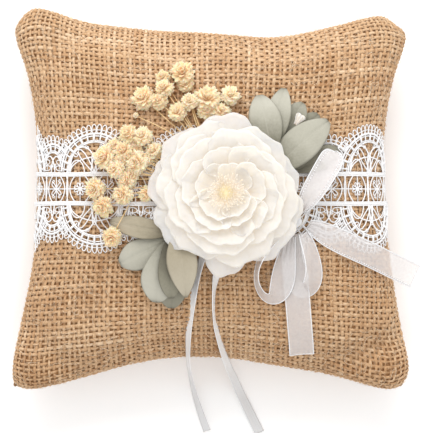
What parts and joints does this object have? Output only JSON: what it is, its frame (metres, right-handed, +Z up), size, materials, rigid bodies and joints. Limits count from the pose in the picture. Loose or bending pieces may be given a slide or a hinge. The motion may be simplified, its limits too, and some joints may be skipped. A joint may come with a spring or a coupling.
{
  "type": "ring bearer pillow",
  "caption": "Square burlap ring cushion with a lace band, a fabric flower, leaf and dried-flower sprays, an organza bow and two satin ribbons that tie the rings.",
  "frame": {"origin": "on the table under the middle of the pillow, at the flat patch of the back panel", "axes": "+Z up out of the front face, +X to the right, +Y towards the top edge of the pillow as it is looked at"},
  "size_m": [0.2088, 0.2165, 0.0892],
  "materials": {
    "burlap": "open plain weave of natural jute",
    "filling": "loose white polyester fibre",
    "lining": "plain brown cotton, seen through the open weave",
    "thread": "twisted sewing thread",
    "lace": "white guipure lace of satin-bound cords",
    "glue": "set hot-melt glue",
    "felt": "pressed white felt",
    "pip": "moulded plastic, satin",
    "petal": "ivory polyester satin, heat-curled",
    "stamen": "pale yellow waxed thread",
    "leaf": "matte sage fabric leaf, moulded",
    "stem": "matte green plastic",
    "gypsophila": "dried cream florets",
    "stalk": "dried straw-coloured stalk",
    "organza": "sheer white organza with satin edges",
    "satin": "white double-faced satin ribbon"
  },
  "bodies": {
    "root": {"fibre_fill": "filling", "lining_front": "lining", "lining_back": "lining", "cover_front": "burlap", "cover_back": "burlap", "seam_stitches": "thread", "closing_stitches": "thread", "lace_tacks": "thread", "bow_binding": "thread", "ribbon_tack": "thread", "lace_band": "lace", "glue_pad": "glue", "felt_disc": "felt", "flower_pip": "pip", "petal_layer_1": "petal", "petal_layer_2": "petal", "petal_layer_3": "petal", "petal_layer_4": "petal", "petal_layer_5": "petal", "petal_layer_6": "petal", "stamens": "stamen", "upper_stem": "stem", "lower_stem": "stem", "upper_leaf_1": "leaf", "upper_leaf_2": "leaf", "upper_leaf_3": "leaf", "upper_leaf_4": "leaf", "upper_leaf_5": "leaf", "upper_leaf_6": "leaf", "lower_leaf_1": "leaf", "lower_leaf_2": "leaf", "lower_leaf_3": "leaf", "lower_leaf_4": "leaf", "lower_leaf_5": "leaf", "lower_leaf_6": "leaf", "upper_bud": "gypsophila", "gypsophila_top_heads": "gypsophila", "gypsophila_left_heads": "gypsophila", "upper_bud_stalk": "stalk", "gypsophila_top_stems": "stalk", "gypsophila_left_stems": "stalk", "gypsophila_top_calyxes": "stalk", "gypsophila_left_calyxes": "stalk", "bow_knot": "organza", "bow_upper_loop": "organza", "bow_side_tail": "organza", "bow_left_loop": "organza", "bow_right_loop": "organza", "bow_lower_tail": "organza", "ring_ribbon_left": "satin", "ring_ribbon_right": "satin"}
  },
  "joints": []
}
